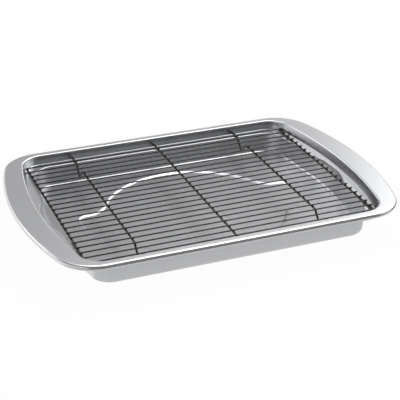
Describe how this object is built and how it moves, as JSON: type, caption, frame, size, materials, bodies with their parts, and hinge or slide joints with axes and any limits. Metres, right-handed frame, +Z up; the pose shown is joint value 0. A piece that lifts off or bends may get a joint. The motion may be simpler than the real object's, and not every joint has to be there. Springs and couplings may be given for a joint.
{
  "type": "sheet pan with rack",
  "caption": "Pressed metal sheet pan with a rolled rim and crescent handles, and a lift-out wire rack that lies on a ledge inside it above the floor.",
  "frame": {"origin": "middle of the flat underside of the sunken floor panel, where the pan stands", "axes": "+X along the pan towards the right handle, +Y across it towards the rear, +Z up out of the pan"},
  "size_m": [0.516, 0.3602, 0.0452],
  "materials": {
    "tray_sheet": "satin natural aluminium sheet",
    "rim_steel": "drawn steel wire",
    "wire_coating": "satin black non-stick coating on steel wire"
  },
  "bodies": {
    "pan": {"tray": "tray_sheet", "rim_wire": "rim_steel"},
    "rack": {"long_wire_01": "wire_coating", "long_wire_02": "wire_coating", "long_wire_03": "wire_coating", "long_wire_04": "wire_coating", "long_wire_05": "wire_coating", "long_wire_06": "wire_coating", "long_wire_07": "wire_coating", "long_wire_08": "wire_coating", "long_wire_09": "wire_coating", "long_wire_10": "wire_coating", "long_wire_11": "wire_coating", "long_wire_12": "wire_coating", "long_wire_13": "wire_coating", "long_wire_14": "wire_coating", "long_wire_15": "wire_coating", "long_wire_16": "wire_coating", "long_wire_17": "wire_coating", "long_wire_18": "wire_coating", "long_wire_19": "wire_coating", "long_wire_20": "wire_coating", "long_wire_21": "wire_coating", "long_wire_22": "wire_coating", "end_wire_left": "wire_coating", "end_wire_right": "wire_coating", "footed_wire_left": "wire_coating", "footed_wire_right": "wire_coating", "cross_wire_middle": "wire_coating"}
  },
  "joints": [
    {"name": "rack_lift", "type": "slide", "parent": "pan", "child": "rack", "axis": [0, 0, 1], "range_m": [0, 0.1]}
  ]
}
